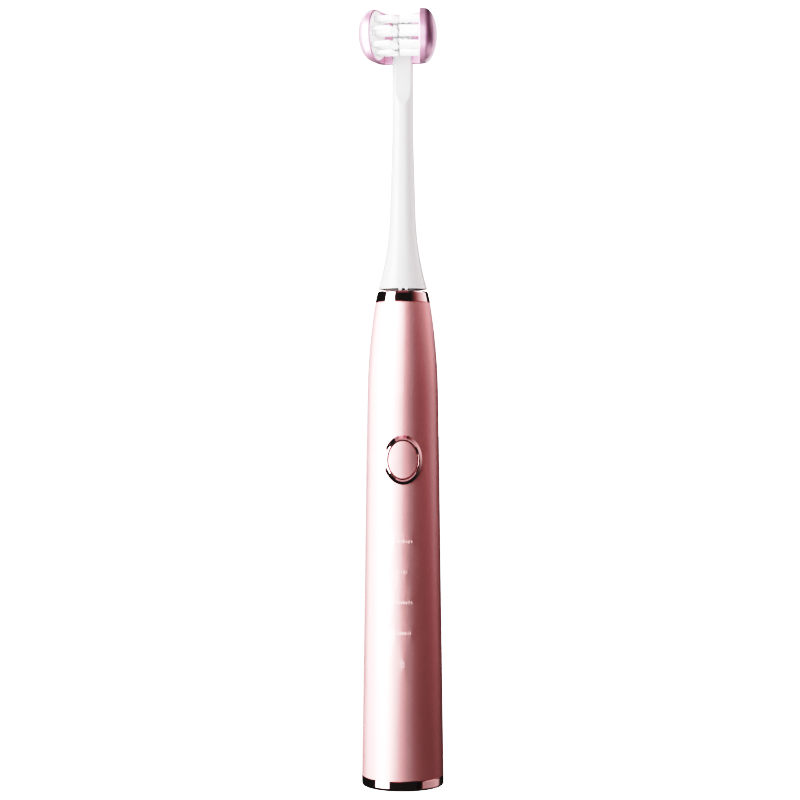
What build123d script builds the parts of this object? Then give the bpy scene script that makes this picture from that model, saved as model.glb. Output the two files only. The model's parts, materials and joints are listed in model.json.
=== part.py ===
from build123d import *
import math
import os

# Sonic toothbrush with a three-sided brush head, standing on its base.
# Millimetres. +Z is up along the handle, -Y is the front with the button.
# The origin is the centre of the flat base.

# General fits and edges
FIT = 0.05
RUNNING = 0.05
NEAR = 0.01
EDGE_BEVEL = 0.15
POLISHED_ROUND = 0.9

# Handle outside
BASE_R = 13.0
BAND_TOP = 3.15
TAPER_TOP = 124.0
TAPER_TOP_R = 11.28
SHELL_TOP = 153.0
SHELL_TOP_R = 8.72
WALL = 1.2
COLLAR_TOP = 156.6
COLLAR_TOP_R = 7.9
COLLAR_BORE_R = 6.2
SPIGOT_GAP = 0.12
BAND_BORE_R = 11.4

# Mode marks: height of each row and its number of ticks, with a cell mark below
MARK_ROWS = ((77.9, 8), (68.4, 4), (58.9, 8), (49.3, 7))
CELL_MARK_Z = 39.5
CELL_MARK = (1.0, 1.7)
CELL_LINE = 0.25
CELL_TIP = (0.45, 0.3)
TICK_PITCH = 0.78
TICK_WIDTH = 0.34
TICK_HEIGHTS = (1.0, 0.7)
MARK_DEPTH = 0.3
MARK_MARGIN = 5.0

# Base and charging coil
WELL_R = 3.6
WELL_DEPTH = 11.0
CAP_R = 11.3
CAP_TOP = 13.0
CAP_FLOOR = 2.2
CUP_R = 9.6
CORE_R = 4.6
SEAL_Z = 7.7
SEAL_MAJOR_R = 11.13
SEAL_MINOR_R = 0.53
SEAL_GAP = 0.1
BOBBIN_R = 9.2
BOBBIN_TUBE_R = 5.3
BOBBIN_BOTTOM = 2.3
BOBBIN_TOP = 11.5
FLANGE = 0.7
COIL_R = 8.8

# Chassis
CHASSIS_R = 9.9
CHASSIS_BORE_R = 8.6
CHASSIS_BOTTOM = 15.0
BATTERY_DECK = 77.0
MOTOR_DECK = 110.0
DECK = 1.2
CRADLE_R = 8.4
CRADLE_BORE_R = 7.6
CRADLE_TOP = 144.0
CRADLE_FRONT_Y = -2.0
SHAFT_HOLE_GAP = 0.6
BOSS_R = 1.9

# Wires
WIRE_R = 0.45
WIRE_BEND = 1.8
WIRE_HOLE_GAP = 0.2
COIL_WIRE_XS = (-4.7, 4.7)
COIL_WIRE_Y = -3.0
COIL_WIRE_TOP = 20.0
MOTOR_WIRE_XS = (-3.5, 3.5)
MOTOR_WIRE_Y = 3.5
MOTOR_WIRE_LOW = 101.0

# Battery
BATTERY_R = 7.0
BATTERY_Y = 1.3
BATTERY_BOTTOM = 26.0
BATTERY_LENGTH = 49.0
BATTERY_EDGE = 0.5
BATTERY_NUB_R = 2.5
BATTERY_NUB = 0.8
BATTERY_GAP = 0.3
TAB = 0.2
TAB_HALF_WIDTH = 2.0
TAB_LEG = 3.0
TAB_SLOT_GAP = 0.5
TAB_SLOT_BACK_Y = -1.0

# Board, with each chip's place across, height and side
BOARD_BACK_Y = -6.2
BOARD_FRONT_Y = -7.2
BOARD_WIDTH = 13.8
BOARD_BOTTOM = 17.0
BOARD_TOP = 109.0
SCREW_HEIGHTS = (21.0, 94.0)
SCREW_R = 0.8
SCREW_HOLE_GAP = 0.1
SCREW_HEAD_R = 1.5
SCREW_HEAD = 0.8
SCREW_LENGTH = 6.0
SCREW_TIP_GAP = 0.5
SLOT_WIDTH = 0.4
SLOT_DEPTH = 0.4
CHIPS = ((-2.2, 30.0, 5.0), (3.6, 31.0, 3.0), (3.4, 87.5, 4.0), (-3.2, 88.0, 3.0))
CHIP_HEIGHT = 1.0
LIGHT_HALF_WIDTH = 0.8
LIGHT_HALF_HEIGHT = 0.4
LIGHT_DEPTH = 0.7
BAFFLE_HALF_WIDTH = 4.4
BAFFLE_FRONT_Y = -9.4
BAFFLE_ENDS = (36.0, 81.5)
CHIMNEY_HALF_WIDTH = 3.6
CHIMNEY_HALF_HEIGHT = 1.4

# Button and switch
BUTTON_Z = 103.4
BEZEL_X = 6.1
BEZEL_Z = 7.7
SLEEVE_X = 5.5
SLEEVE_Z = 7.1
BEZEL_BORE_X = 4.85
BEZEL_BORE_Z = 6.2
BEZEL_PROUD = 0.55
BEZEL_SLOPE = (0.9, 0.5)
BEZEL_ROUND = 0.12
BEZEL_BACK_Y = -9.8
BUTTON_X = 4.65
BUTTON_HALF_Z = 6.0
BUTTON_PROUD = 0.25
BUTTON_ROUND = 0.35
GROOVE_Y = (-10.5, -10.1)
GROOVE_DEPTH = 0.5
RING_Y = (-10.47, -10.13)
RING_DEPTH = 0.45
RING_PROUD = 0.12
SKIRT_FRONT_Y = -9.7
SKIRT_BACK_Y = -9.3
SKIRT_INSET = 0.4
SKIRT_FLARE = 0.5
STEM_R = 1.5
STEM_BACK_Y = -8.9
SWITCH_SIDE = 5.0
SWITCH_FRONT_Y = -8.2
SWITCH_FLOOR = 0.3
PLUNGER_R = 1.2
PLUNGER_Y = (-8.6, -7.9)

# Motor
MOTOR_R = 7.0
MOTOR_BORE_R = 6.4
MOTOR_BOTTOM = 113.0
MOTOR_TOP = 143.0
MOTOR_CAP = 1.5
BEARING_R = 3.0
BEARING_LENGTH = 3.0
BEARING_BOSS_R = 4.2
YOKE_R = 2.7
PRESSED = 0.02
MAGNET_R = 3.8
MAGNET_INSET = 0.5
MAGNET_SLOT = 0.4
POLE_FACE_R = 4.2
POLE_FOOT = 0.3
POLE_INSET = 1.0
POLE_WIDTH = 2.4
STATOR_BORE_R = 5.4
STATOR_BOTTOM = 120.0
STATOR_TOP = 136.0
COIL_WALL = 0.7
COIL_SETBACK = 0.15
DAMPER_HEIGHTS = (118.0, 136.0)
DAMPER_HEIGHT = 4.0

# Drive shaft
SHAFT_R = 1.9
SHAFT_BOTTOM = 110.5
SHAFT_TOP = 176.0
SHAFT_BEVEL = 0.3
FLAT_BOTTOM = 160.0
FLAT_DEPTH = 0.5

# Shaft seal and its carrier
CARRIER_R = 7.2
CARRIER_BOTTOM = 144.6
CARRIER_TOP = 150.4
CARRIER_BORE_R = 3.0
CARRIER_SCREW_X = 5.2
CARRIER_SCREW_R = 0.7
CARRIER_SCREW_LOW = 143.2
CARRIER_HEAD_R = 1.3
CARRIER_HEAD = 0.9
COUNTERBORE = 1.2
SEAL_BOTTOM = 150.5
SEAL_FLANGE_TOP = 153.2
SEAL_TOP = 156.0
SEAL_ROOT_R = 4.6
SEAL_LIP_R = 3.4
SEAL_TIP_R = 3.0
SEAL_STEP = 0.4

# Brush neck
NECK_BOTTOM = 157.2
NECK_FOOT_R = 7.83
NECK_FOOT_ROUND = 0.2
FLARE_TOP = 181.0
FLARE_TOP_R = 4.1
STEM_TOP = 206.0
NECK_R = 3.35
NECK_TOP = 243.8
SKIRT_BORE_R = 6.6
SOCKET_R = 3.0
SOCKET_BOTTOM = 166.0
SOCKET_TOP = 178.0
CLIP_BOTTOM = 161.0
CLIP_TOP = 177.0
RIB_XS = (-0.75, 1.1)
RIB_WIDTH = 0.9
RIB_HEIGHT = 0.45
RIB_ROOT = 0.4
RIB_Y = (-7.73, -6.4)
FACET_Y = -2.5
FACET_BOTTOM = 220.6
FACET_RUNOUT_R = 12.9

# Brush head, drawn facing the front and then turned on the neck
HEAD_YAW = -11.0
HEAD_Z = 236.95
HEAD_SPAN = 15.0
EAR_SPLAY = 10.0
EAR_X = 6.55
EAR_Y = -6.7
EAR_R = 8.15
EAR_RIM = 1.5
EAR_DOME = 4.15
EAR_ROUND = 0.3
WALL_FACE_Y = -1.2
SADDLE = 0.6
BARREL_R = 12.25
BARREL_HALF = 15.0
PLATE_R = 7.65
PLATE = 1.3
PLATE_RECESS = 0.1
CORE_BOTTOM = 228.0
CORE_STEP = 232.0
CORE_BACK_Y = 1.0
CORE_LEDGE = 231.0
CORE_FRONT_Y = -1.6

# Bristles: each ear's rows as height from its centre, tuft radius, first place forward, count and pitch
EAR_ROWS = (
    (4.85, 0.95, -1.3, 3, 2.05),
    (1.28, 0.72, -1.05, 4, 2.2),
    (0.12, 0.72, 0.05, 3, 2.2),
    (-3.55, 0.9, -0.9, 4, 2.05),
    (-5.85, 0.65, -1.4, 4, 1.5),
)
BRISTLE_LENGTH = 6.1
REAR_TUFT_R = 0.75
REAR_COLUMNS = (-1.75, 0.0, 1.75)
REAR_ROWS = (5.0, 2.9, 0.8, -1.3, -3.4)
REAR_BRISTLE_LENGTH = 3.2
HOLE_DEPTH = 1.0
TUFT_GAP = 0.04
STAPLE_DEPTH = 0.3
STAPLE_HALF_WIDTH = 0.6
STAPLE_HALF_HEIGHT = 0.12


# --- Shapes used throughout ---


def disc(radius, bottom, top):
    """Upright solid cylinder about the handle axis."""
    low = (Align.CENTER, Align.CENTER, Align.MIN)
    return Pos(0, 0, bottom) * Cylinder(radius, top - bottom, align=low)


def tube(outer, inner, bottom, top):
    """Upright ring about the handle axis."""
    return disc(outer, bottom, top) - disc(inner, bottom, top)


def block(x, y, z):
    """Box between the two limits given for each axis."""
    low = (Align.MIN, Align.MIN, Align.MIN)
    return Pos(x[0], y[0], z[0]) * Box(x[1] - x[0], y[1] - y[0], z[1] - z[0], align=low)


def turned(points):
    """Solid of revolution from a closed outline of radius and height."""
    outline = make_face(Polyline(*points, close=True))
    return revolve(Plane.XZ * outline, Axis.Z, 360)


def across(radius, centre_x, centre_z, y):
    """Round bar lying front to back between two depths."""
    low = (Align.CENTER, Align.CENTER, Align.MIN)
    return Plane((centre_x, y[1], centre_z), z_dir=(0, -1, 0)) * Cylinder(radius, y[1] - y[0], align=low)


def oval_bar(half_x, half_z, y):
    """Oval prism behind the button's centre, between two depths."""
    face = Plane((0, y[1], BUTTON_Z), x_dir=(1, 0, 0), z_dir=(0, -1, 0)) * Ellipse(half_x, half_z)
    return extrude(face, y[1] - y[0])


def wire(points):
    """Insulated wire along straight runs with bends between them."""
    path = FilletPolyline(*points, radius=WIRE_BEND)
    section = Plane(path @ 0, z_dir=path % 0) * Circle(WIRE_R)
    return sweep(section, path=path)


def outer_ring(shape, end):
    """Largest circular edge at the bottom (0) or top (-1) of a turned piece."""
    return shape.edges().filter_by(GeomType.CIRCLE).group_by(Axis.Z)[end].sort_by(SortBy.RADIUS)[-1]


def front_edges(shape):
    """Edges of a piece's foremost face."""
    return shape.faces().sort_by(Axis.Y)[0].edges()


def envelope(offset):
    """Solid of the handle's outside, grown or shrunk by an offset."""
    start = (BASE_R + offset, BAND_TOP)
    knee = (TAPER_TOP_R + offset, TAPER_TOP)
    end = (SHELL_TOP_R + offset, SHELL_TOP)
    taper = Line(start, knee)
    shoulder = TangentArc(knee, end, tangent=taper % 1)
    rest = Polyline(end, (0, SHELL_TOP), (0, BAND_TOP), start)
    return revolve(Plane.XZ * make_face([taper, shoulder, rest]), Axis.Z, 360)


def button_skin(offset):
    """Part of the handle's envelope around the button."""
    return envelope(offset) & disc(2 * BASE_R, BUTTON_Z - 2 * BEZEL_Z, BUTTON_Z + 2 * BEZEL_Z)


# --- Handle outside ---


def mode_marks():
    """Pale inlaid ticks in rows, with a small cell mark below them."""
    width, height = CELL_MARK
    cell = Rectangle(width, height) - Rectangle(width - 2 * CELL_LINE, height - 2 * CELL_LINE)
    cell += Pos(0, (height + CELL_TIP[1]) / 2) * Rectangle(*CELL_TIP)
    marks = [Pos(0, CELL_MARK_Z) * cell]
    for row_z, count in MARK_ROWS:
        first = -TICK_PITCH * (count - 1) / 2
        for i in range(count):
            tick = Rectangle(TICK_WIDTH, TICK_HEIGHTS[i % 2])
            marks.append(Pos(first + i * TICK_PITCH, row_z) * tick)
    skin = envelope(0) - envelope(-MARK_DEPTH)
    skin &= disc(BASE_R, CELL_MARK_Z - MARK_MARGIN, MARK_ROWS[0][0] + MARK_MARGIN)
    front = Plane((0, 0, 0), x_dir=(1, 0, 0), z_dir=(0, -1, 0))
    inlays = [extrude(front * mark, BASE_R) & skin for mark in marks]
    return Compound([solid for inlay in inlays for solid in inlay.solids()])


def handle_shell():
    """Tapered tube with the button's oval hole and the pockets of the marks."""
    shell = envelope(0) - envelope(-WALL)
    shell = chamfer([outer_ring(shell, 0), outer_ring(shell, -1)], EDGE_BEVEL)
    shell -= oval_bar(SLEEVE_X + FIT, SLEEVE_Z + FIT, (-BASE_R, 0))
    return shell - mode_marks()


def top_collar():
    """Polished ring on the shoulder, with a spigot inside the shell."""
    spigot_r = SHELL_TOP_R - WALL - SPIGOT_GAP
    outline = (
        (COLLAR_BORE_R, SEAL_BOTTOM),
        (spigot_r, SEAL_BOTTOM),
        (spigot_r, SHELL_TOP),
        (SHELL_TOP_R - EDGE_BEVEL, SHELL_TOP),
        (SHELL_TOP_R, SHELL_TOP + EDGE_BEVEL),
        (COLLAR_TOP_R, COLLAR_TOP),
        (COLLAR_BORE_R, COLLAR_TOP),
    )
    ring = turned(outline)
    return fillet(outer_ring(ring, -1), POLISHED_ROUND)


def bottom_band():
    """Polished ring at the foot, rounded where it meets the surface."""
    ring = tube(BASE_R, BAND_BORE_R, 0, BAND_TOP)
    ring = chamfer(outer_ring(ring, -1), EDGE_BEVEL)
    return fillet(outer_ring(ring, 0), POLISHED_ROUND)


# --- Base and charging ---


def base_cap():
    """Plug in the foot with a blind well for the charger's pin and a cup for the coil."""
    groove_r = SEAL_MAJOR_R - SEAL_MINOR_R - FIT
    groove_low = SEAL_Z - SEAL_MINOR_R - SEAL_GAP
    groove_high = SEAL_Z + SEAL_MINOR_R + SEAL_GAP
    outline = (
        (WELL_R, 0),
        (BAND_BORE_R - FIT, 0),
        (BAND_BORE_R - FIT, BAND_TOP),
        (CAP_R, BAND_TOP),
        (CAP_R, groove_low),
        (groove_r, groove_low),
        (groove_r, groove_high),
        (CAP_R, groove_high),
        (CAP_R, CAP_TOP),
        (CUP_R, CAP_TOP),
        (CUP_R, CAP_FLOOR),
        (CORE_R, CAP_FLOOR),
        (CORE_R, WELL_DEPTH + WALL),
        (0, WELL_DEPTH + WALL),
        (0, WELL_DEPTH),
        (WELL_R, WELL_DEPTH),
    )
    return turned(outline)


def base_seal():
    """Rubber ring in the base cap's groove."""
    return Pos(0, 0, SEAL_Z) * Torus(SEAL_MAJOR_R, SEAL_MINOR_R)


def coil_bobbin():
    """Spool around the well's wall."""
    bore = CORE_R + FIT
    outline = (
        (bore, BOBBIN_BOTTOM),
        (BOBBIN_R, BOBBIN_BOTTOM),
        (BOBBIN_R, BOBBIN_BOTTOM + FLANGE),
        (BOBBIN_TUBE_R, BOBBIN_BOTTOM + FLANGE),
        (BOBBIN_TUBE_R, BOBBIN_TOP - FLANGE),
        (BOBBIN_R, BOBBIN_TOP - FLANGE),
        (BOBBIN_R, BOBBIN_TOP),
        (bore, BOBBIN_TOP),
    )
    return turned(outline)


def charging_coil():
    """Winding on the bobbin."""
    low = BOBBIN_BOTTOM + FLANGE + FIT
    high = BOBBIN_TOP - FLANGE - FIT
    return tube(COIL_R, BOBBIN_TUBE_R + FIT, low, high)


def leads(xs, y, start, turn):
    """Two wires up or down from a start height to a turn, then forward to the back of the board."""
    board = BOARD_BACK_Y + FIT
    return Compound([wire(((x, y, start), (x, y, turn), (x, board, turn))) for x in xs])


def coil_wires():
    """Leads from the bobbin up to the board."""
    return leads(COIL_WIRE_XS, COIL_WIRE_Y, BOBBIN_TOP + FIT, COIL_WIRE_TOP)


# --- Chassis, battery and board ---


def chassis():
    """Half-round cradle for the battery and board, with a narrower one for the motor."""
    body = tube(CHASSIS_R, CHASSIS_BORE_R, CHASSIS_BOTTOM, MOTOR_DECK + DECK)
    for bottom in (CHASSIS_BOTTOM, BATTERY_BOTTOM - DECK - BATTERY_GAP, BATTERY_DECK, MOTOR_DECK):
        body += disc(CHASSIS_BORE_R, bottom, bottom + DECK)
    open_back = block((-CRADLE_R, CRADLE_R), (CRADLE_FRONT_Y, CRADLE_R), (MOTOR_DECK, CRADLE_TOP))
    body += tube(CRADLE_R, CRADLE_BORE_R, MOTOR_DECK, CRADLE_TOP) & open_back
    body &= block((-CHASSIS_R, CHASSIS_R), (BOARD_BACK_Y, CHASSIS_R), (CHASSIS_BOTTOM, CRADLE_TOP))
    outside = disc(CHASSIS_R, CHASSIS_BOTTOM, MOTOR_DECK)
    for height in SCREW_HEIGHTS:
        body += across(BOSS_R, 0, height, (BOARD_BACK_Y, CHASSIS_R)) & outside
        body -= across(SCREW_R + FIT, 0, height, (BOARD_BACK_Y, BOARD_BACK_Y + SCREW_LENGTH))
    body -= disc(SHAFT_R + SHAFT_HOLE_GAP, MOTOR_DECK, MOTOR_DECK + DECK)
    for x in COIL_WIRE_XS:
        body -= Pos(x, COIL_WIRE_Y, 0) * disc(WIRE_R + WIRE_HOLE_GAP, CHASSIS_BOTTOM, CHASSIS_BOTTOM + DECK)
    for x in MOTOR_WIRE_XS:
        body -= Pos(x, MOTOR_WIRE_Y, 0) * disc(WIRE_R + WIRE_HOLE_GAP, MOTOR_DECK, MOTOR_DECK + DECK)
    half = TAB_HALF_WIDTH + TAB_SLOT_GAP
    tab_slot = block((-half, half), (BOARD_BACK_Y, TAB_SLOT_BACK_Y), (BATTERY_DECK, BATTERY_DECK + DECK))
    return body - tab_slot


def battery_cell():
    """Cylindrical cell with its raised positive end."""
    top = BATTERY_BOTTOM + BATTERY_LENGTH
    can = disc(BATTERY_R, BATTERY_BOTTOM, top)
    can = fillet(can.edges().filter_by(GeomType.CIRCLE), BATTERY_EDGE)
    return Pos(0, BATTERY_Y, 0) * (can + disc(BATTERY_NUB_R, top, top + BATTERY_NUB))


def battery_tabs():
    """Nickel strips from both ends of the cell to the board."""
    half = TAB_HALF_WIDTH
    board = BOARD_BACK_Y + FIT
    upper = BATTERY_BOTTOM + BATTERY_LENGTH + BATTERY_NUB
    lower = BATTERY_BOTTOM - TAB
    strips = []
    for flat_z, leg_z in ((upper, (upper - TAB_LEG, upper)), (lower, (lower, lower + TAB_LEG))):
        flat = block((-half, half), (board, BATTERY_Y + half), (flat_z, flat_z + TAB))
        leg = block((-half, half), (board, board + TAB), leg_z)
        strips.append((flat + leg).solid())
    return Compound(strips)


def circuit_board():
    """Long board on the chassis's front edges."""
    half = BOARD_WIDTH / 2
    board = block((-half, half), (BOARD_FRONT_Y, BOARD_BACK_Y), (BOARD_BOTTOM, BOARD_TOP))
    for height in SCREW_HEIGHTS:
        board -= across(SCREW_R + SCREW_HOLE_GAP, 0, height, (BOARD_FRONT_Y, BOARD_BACK_Y))
    return board


def board_screws():
    """Two slotted screws through the board into the chassis."""
    front = BOARD_FRONT_Y - SCREW_HEAD
    tip = BOARD_BACK_Y + SCREW_LENGTH - SCREW_TIP_GAP
    across_head = (-SCREW_HEAD_R, SCREW_HEAD_R)
    screws = []
    for height in SCREW_HEIGHTS:
        head = across(SCREW_HEAD_R, 0, height, (front, BOARD_FRONT_Y))
        stem = across(SCREW_R, 0, height, (BOARD_FRONT_Y, tip))
        slot_z = (height - SLOT_WIDTH / 2, height + SLOT_WIDTH / 2)
        screws.append((head + stem - block(across_head, (front, front + SLOT_DEPTH), slot_z)).solid())
    return Compound(screws)


def board_chips():
    """Controller, charger and motor driver on the board's front."""
    depth = (BOARD_FRONT_Y - CHIP_HEIGHT, BOARD_FRONT_Y)
    chips = []
    for x, z, side in CHIPS:
        half = side / 2
        chips.append(block((x - half, x + half), depth, (z - half, z + half)))
    return Compound(chips)


def light_heights():
    """Heights of the lights, one behind each row of marks."""
    return [row_z for row_z, _ in MARK_ROWS] + [CELL_MARK_Z]


def status_lights():
    """One small light behind each row of marks."""
    width = (-LIGHT_HALF_WIDTH, LIGHT_HALF_WIDTH)
    depth = (BOARD_FRONT_Y - LIGHT_DEPTH, BOARD_FRONT_Y)
    lights = [block(width, depth, (z - LIGHT_HALF_HEIGHT, z + LIGHT_HALF_HEIGHT)) for z in light_heights()]
    return Compound(lights)


def light_baffle():
    """Bar with a chimney for each light."""
    bar = block((-BAFFLE_HALF_WIDTH, BAFFLE_HALF_WIDTH), (BAFFLE_FRONT_Y, BOARD_FRONT_Y - FIT), BAFFLE_ENDS)
    width = (-CHIMNEY_HALF_WIDTH, CHIMNEY_HALF_WIDTH)
    for z in light_heights():
        bar -= block(width, (BAFFLE_FRONT_Y, BOARD_FRONT_Y), (z - CHIMNEY_HALF_HEIGHT, z + CHIMNEY_HALF_HEIGHT))
    return bar


# --- Button and switch ---


def button_bezel():
    """Oval ring on the handle's surface that slopes down outwards, with a sleeve through the shell."""
    flange = oval_bar(BEZEL_X, BEZEL_Z, (-2 * BASE_R, 0)) & (button_skin(BEZEL_PROUD) - button_skin(0))
    sleeve = oval_bar(SLEEVE_X, SLEEVE_Z, (-BASE_R, BEZEL_BACK_Y)) & button_skin(0)
    ring = flange + sleeve - oval_bar(BEZEL_BORE_X, BEZEL_BORE_Z, (-2 * BASE_R, 0))
    crest = ring.faces().sort_by(Axis.Y)[0]
    ring = chamfer(crest.outer_wire().edges(), *BEZEL_SLOPE, reference=crest)
    crest = ring.faces().sort_by(Axis.Y)[0]
    return fillet(crest.inner_wires()[0].edges(), BEZEL_ROUND)


def button_cap():
    """Oval push cap with a groove for its seal, a wider skirt that keeps it in and a stem behind."""
    cap = oval_bar(BUTTON_X, BUTTON_HALF_Z, (-BASE_R, BEZEL_BACK_Y)) & button_skin(BUTTON_PROUD)
    cap = fillet(front_edges(cap), BUTTON_ROUND)
    groove = oval_bar(BUTTON_X + GROOVE_DEPTH, BUTTON_HALF_Z + GROOVE_DEPTH, GROOVE_Y)
    cap -= groove - oval_bar(BUTTON_X - GROOVE_DEPTH, BUTTON_HALF_Z - GROOVE_DEPTH, GROOVE_Y)
    cap += oval_bar(BUTTON_X - SKIRT_INSET, BUTTON_HALF_Z - SKIRT_INSET, (BEZEL_BACK_Y, SKIRT_FRONT_Y))
    cap += oval_bar(BUTTON_X + SKIRT_FLARE, BUTTON_HALF_Z + SKIRT_FLARE, (SKIRT_FRONT_Y, SKIRT_BACK_Y))
    return cap + across(STEM_R, 0, BUTTON_Z, (SKIRT_BACK_Y, STEM_BACK_Y))


def button_seal():
    """Rubber ring in the button cap's groove."""
    outer = oval_bar(BUTTON_X + RING_PROUD, BUTTON_HALF_Z + RING_PROUD, RING_Y)
    return outer - oval_bar(BUTTON_X - RING_DEPTH, BUTTON_HALF_Z - RING_DEPTH, RING_Y)


def switch_body():
    """Tact switch on the board behind the button."""
    half = SWITCH_SIDE / 2
    body = block((-half, half), (SWITCH_FRONT_Y, BOARD_FRONT_Y), (BUTTON_Z - half, BUTTON_Z + half))
    return body - across(PLUNGER_R + FIT, 0, BUTTON_Z, (SWITCH_FRONT_Y, BOARD_FRONT_Y - SWITCH_FLOOR))


def switch_plunger():
    """Short post that the button's stem presses."""
    return across(PLUNGER_R, 0, BUTTON_Z, PLUNGER_Y)


# --- Motor ---


def motor_housing():
    """Steel can of the motor."""
    return tube(MOTOR_R, MOTOR_BORE_R, MOTOR_BOTTOM, MOTOR_TOP)


def motor_cap_upper():
    """End cap that holds the upper bearing and takes the carrier's screws."""
    top = MOTOR_TOP + MOTOR_CAP
    cap = disc(MOTOR_R, MOTOR_TOP, top) + disc(BEARING_BOSS_R, top - BEARING_LENGTH, top)
    cap -= disc(BEARING_R + FIT / 2, top - BEARING_LENGTH, top)
    for x in (-CARRIER_SCREW_X, CARRIER_SCREW_X):
        cap -= Pos(x, 0, 0) * disc(CARRIER_SCREW_R + FIT, MOTOR_TOP, top)
    return cap


def motor_cap_lower():
    """End cap that holds the lower bearing."""
    low = MOTOR_BOTTOM - MOTOR_CAP
    cap = disc(MOTOR_R, low, MOTOR_BOTTOM) + disc(BEARING_BOSS_R, low, low + BEARING_LENGTH)
    return cap - disc(BEARING_R + FIT / 2, low, low + BEARING_LENGTH)


def bearing(bottom):
    """Plain bearing ring with running clearance on the shaft."""
    return tube(BEARING_R, SHAFT_R + RUNNING, bottom, bottom + BEARING_LENGTH)


def bearing_upper():
    """Bearing in the upper cap."""
    return bearing(MOTOR_TOP + MOTOR_CAP - BEARING_LENGTH)


def bearing_lower():
    """Bearing in the lower cap."""
    return bearing(MOTOR_BOTTOM - MOTOR_CAP)


def stator_core():
    """Laminated ring with four poles that point at the rotor."""
    core = tube(MOTOR_BORE_R - FIT, STATOR_BORE_R, STATOR_BOTTOM, STATOR_TOP)
    half = POLE_WIDTH / 2
    height = (STATOR_BOTTOM + POLE_INSET, STATOR_TOP - POLE_INSET)
    pole = block((POLE_FACE_R, STATOR_BORE_R + POLE_FOOT), (-half, half), height)
    for angle in range(45, 360, 90):
        core += Rot(0, 0, angle) * pole
    return core


def stator_coils():
    """Winding around each pole."""
    inner = POLE_WIDTH / 2 + FIT
    outer = POLE_WIDTH / 2 + COIL_WALL
    low = STATOR_BOTTOM + POLE_INSET
    high = STATOR_TOP - POLE_INSET
    reach = (POLE_FACE_R + COIL_SETBACK, STATOR_BORE_R)
    coil = block(reach, (-outer, outer), (low - COIL_WALL, high + COIL_WALL))
    coil -= block(reach, (-inner, inner), (low - FIT, high + FIT))
    coil &= disc(STATOR_BORE_R - FIT, STATOR_BOTTOM - COIL_WALL, STATOR_TOP + COIL_WALL)
    return Compound([(Rot(0, 0, angle) * coil).solid() for angle in range(45, 360, 90)])


def rotor_yoke():
    """Iron sleeve pressed on the shaft."""
    return tube(YOKE_R, SHAFT_R + PRESSED, STATOR_BOTTOM, STATOR_TOP)


def rotor_magnets():
    """Four curved magnets on the yoke."""
    ring = tube(MAGNET_R, YOKE_R + PRESSED, STATOR_BOTTOM + MAGNET_INSET, STATOR_TOP - MAGNET_INSET)
    half = MAGNET_SLOT / 2
    for angle in (0, 90):
        ring -= Rot(0, 0, angle) * block((-MAGNET_R, MAGNET_R), (-half, half), (STATOR_BOTTOM, STATOR_TOP))
    return Compound(list(ring.solids()))


def shaft_section(radius, bottom, top):
    """Round bar with the flat that keys the brush head, turned like the head."""
    bar = disc(radius, bottom, top)
    flat_y = FLAT_DEPTH - radius
    flat = block((-radius, radius), (-2 * radius, flat_y), (max(bottom, FLAT_BOTTOM), top))
    return in_head(bar - flat)


def drive_shaft():
    """Steel shaft from the motor to inside the brush neck."""
    shaft = shaft_section(SHAFT_R, SHAFT_BOTTOM, SHAFT_TOP)
    return chamfer(shaft.edges().group_by(Axis.Z)[-1], SHAFT_BEVEL)


def motor_dampers():
    """Two rubber rings around the motor."""
    rings = [tube(CRADLE_BORE_R - FIT, MOTOR_R + FIT, z, z + DAMPER_HEIGHT) for z in DAMPER_HEIGHTS]
    return Compound([ring.solid() for ring in rings])


def motor_clip():
    """Front strap that closes the motor's cradle."""
    height = (DAMPER_HEIGHTS[0], DAMPER_HEIGHTS[1] + DAMPER_HEIGHT)
    strap = tube(CRADLE_R, CRADLE_BORE_R, *height)
    return strap & block((-CRADLE_R, CRADLE_R), (-CRADLE_R, CRADLE_FRONT_Y - FIT), height)


def motor_wires():
    """Leads from the motor down to the board."""
    return leads(MOTOR_WIRE_XS, MOTOR_WIRE_Y, MOTOR_BOTTOM - MOTOR_CAP - FIT, MOTOR_WIRE_LOW)


# --- Shaft seal ---


def seal_carrier():
    """Ring over the motor that backs the seal."""
    ring = tube(CARRIER_R, CARRIER_BORE_R, CARRIER_BOTTOM, CARRIER_TOP)
    for x in (-CARRIER_SCREW_X, CARRIER_SCREW_X):
        ring -= Pos(x, 0, 0) * disc(CARRIER_SCREW_R + FIT, CARRIER_BOTTOM, CARRIER_TOP)
        ring -= Pos(x, 0, 0) * disc(CARRIER_HEAD_R + FIT, CARRIER_TOP - COUNTERBORE, CARRIER_TOP)
    return ring


def carrier_screws():
    """Two slotted screws that hold the carrier to the motor's cap."""
    seat = CARRIER_TOP - COUNTERBORE
    top = seat + CARRIER_HEAD
    half = SLOT_WIDTH / 2
    screw = disc(CARRIER_SCREW_R, CARRIER_SCREW_LOW, seat) + disc(CARRIER_HEAD_R, seat, top)
    screw -= block((-CARRIER_HEAD_R, CARRIER_HEAD_R), (-half, half), (top - SLOT_DEPTH, top))
    return Compound([(Pos(x, 0, 0) * screw).solid() for x in (-CARRIER_SCREW_X, CARRIER_SCREW_X)])


def shaft_seal():
    """Rubber boot between the collar and the shaft."""
    bore = SHAFT_R + RUNNING
    outline = (
        (bore, SEAL_BOTTOM),
        (COLLAR_BORE_R - FIT, SEAL_BOTTOM),
        (COLLAR_BORE_R - FIT, SEAL_FLANGE_TOP),
        (SEAL_ROOT_R, SEAL_FLANGE_TOP + SEAL_STEP),
        (SEAL_LIP_R, SEAL_TOP - SEAL_STEP),
        (SEAL_TIP_R, SEAL_TOP),
        (bore, SEAL_TOP),
    )
    return turned(outline)


# --- Brush neck ---


def in_head(shape):
    """Turns a piece drawn facing the front to the head's own direction."""
    return Rot(0, 0, HEAD_YAW) * shape


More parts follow.
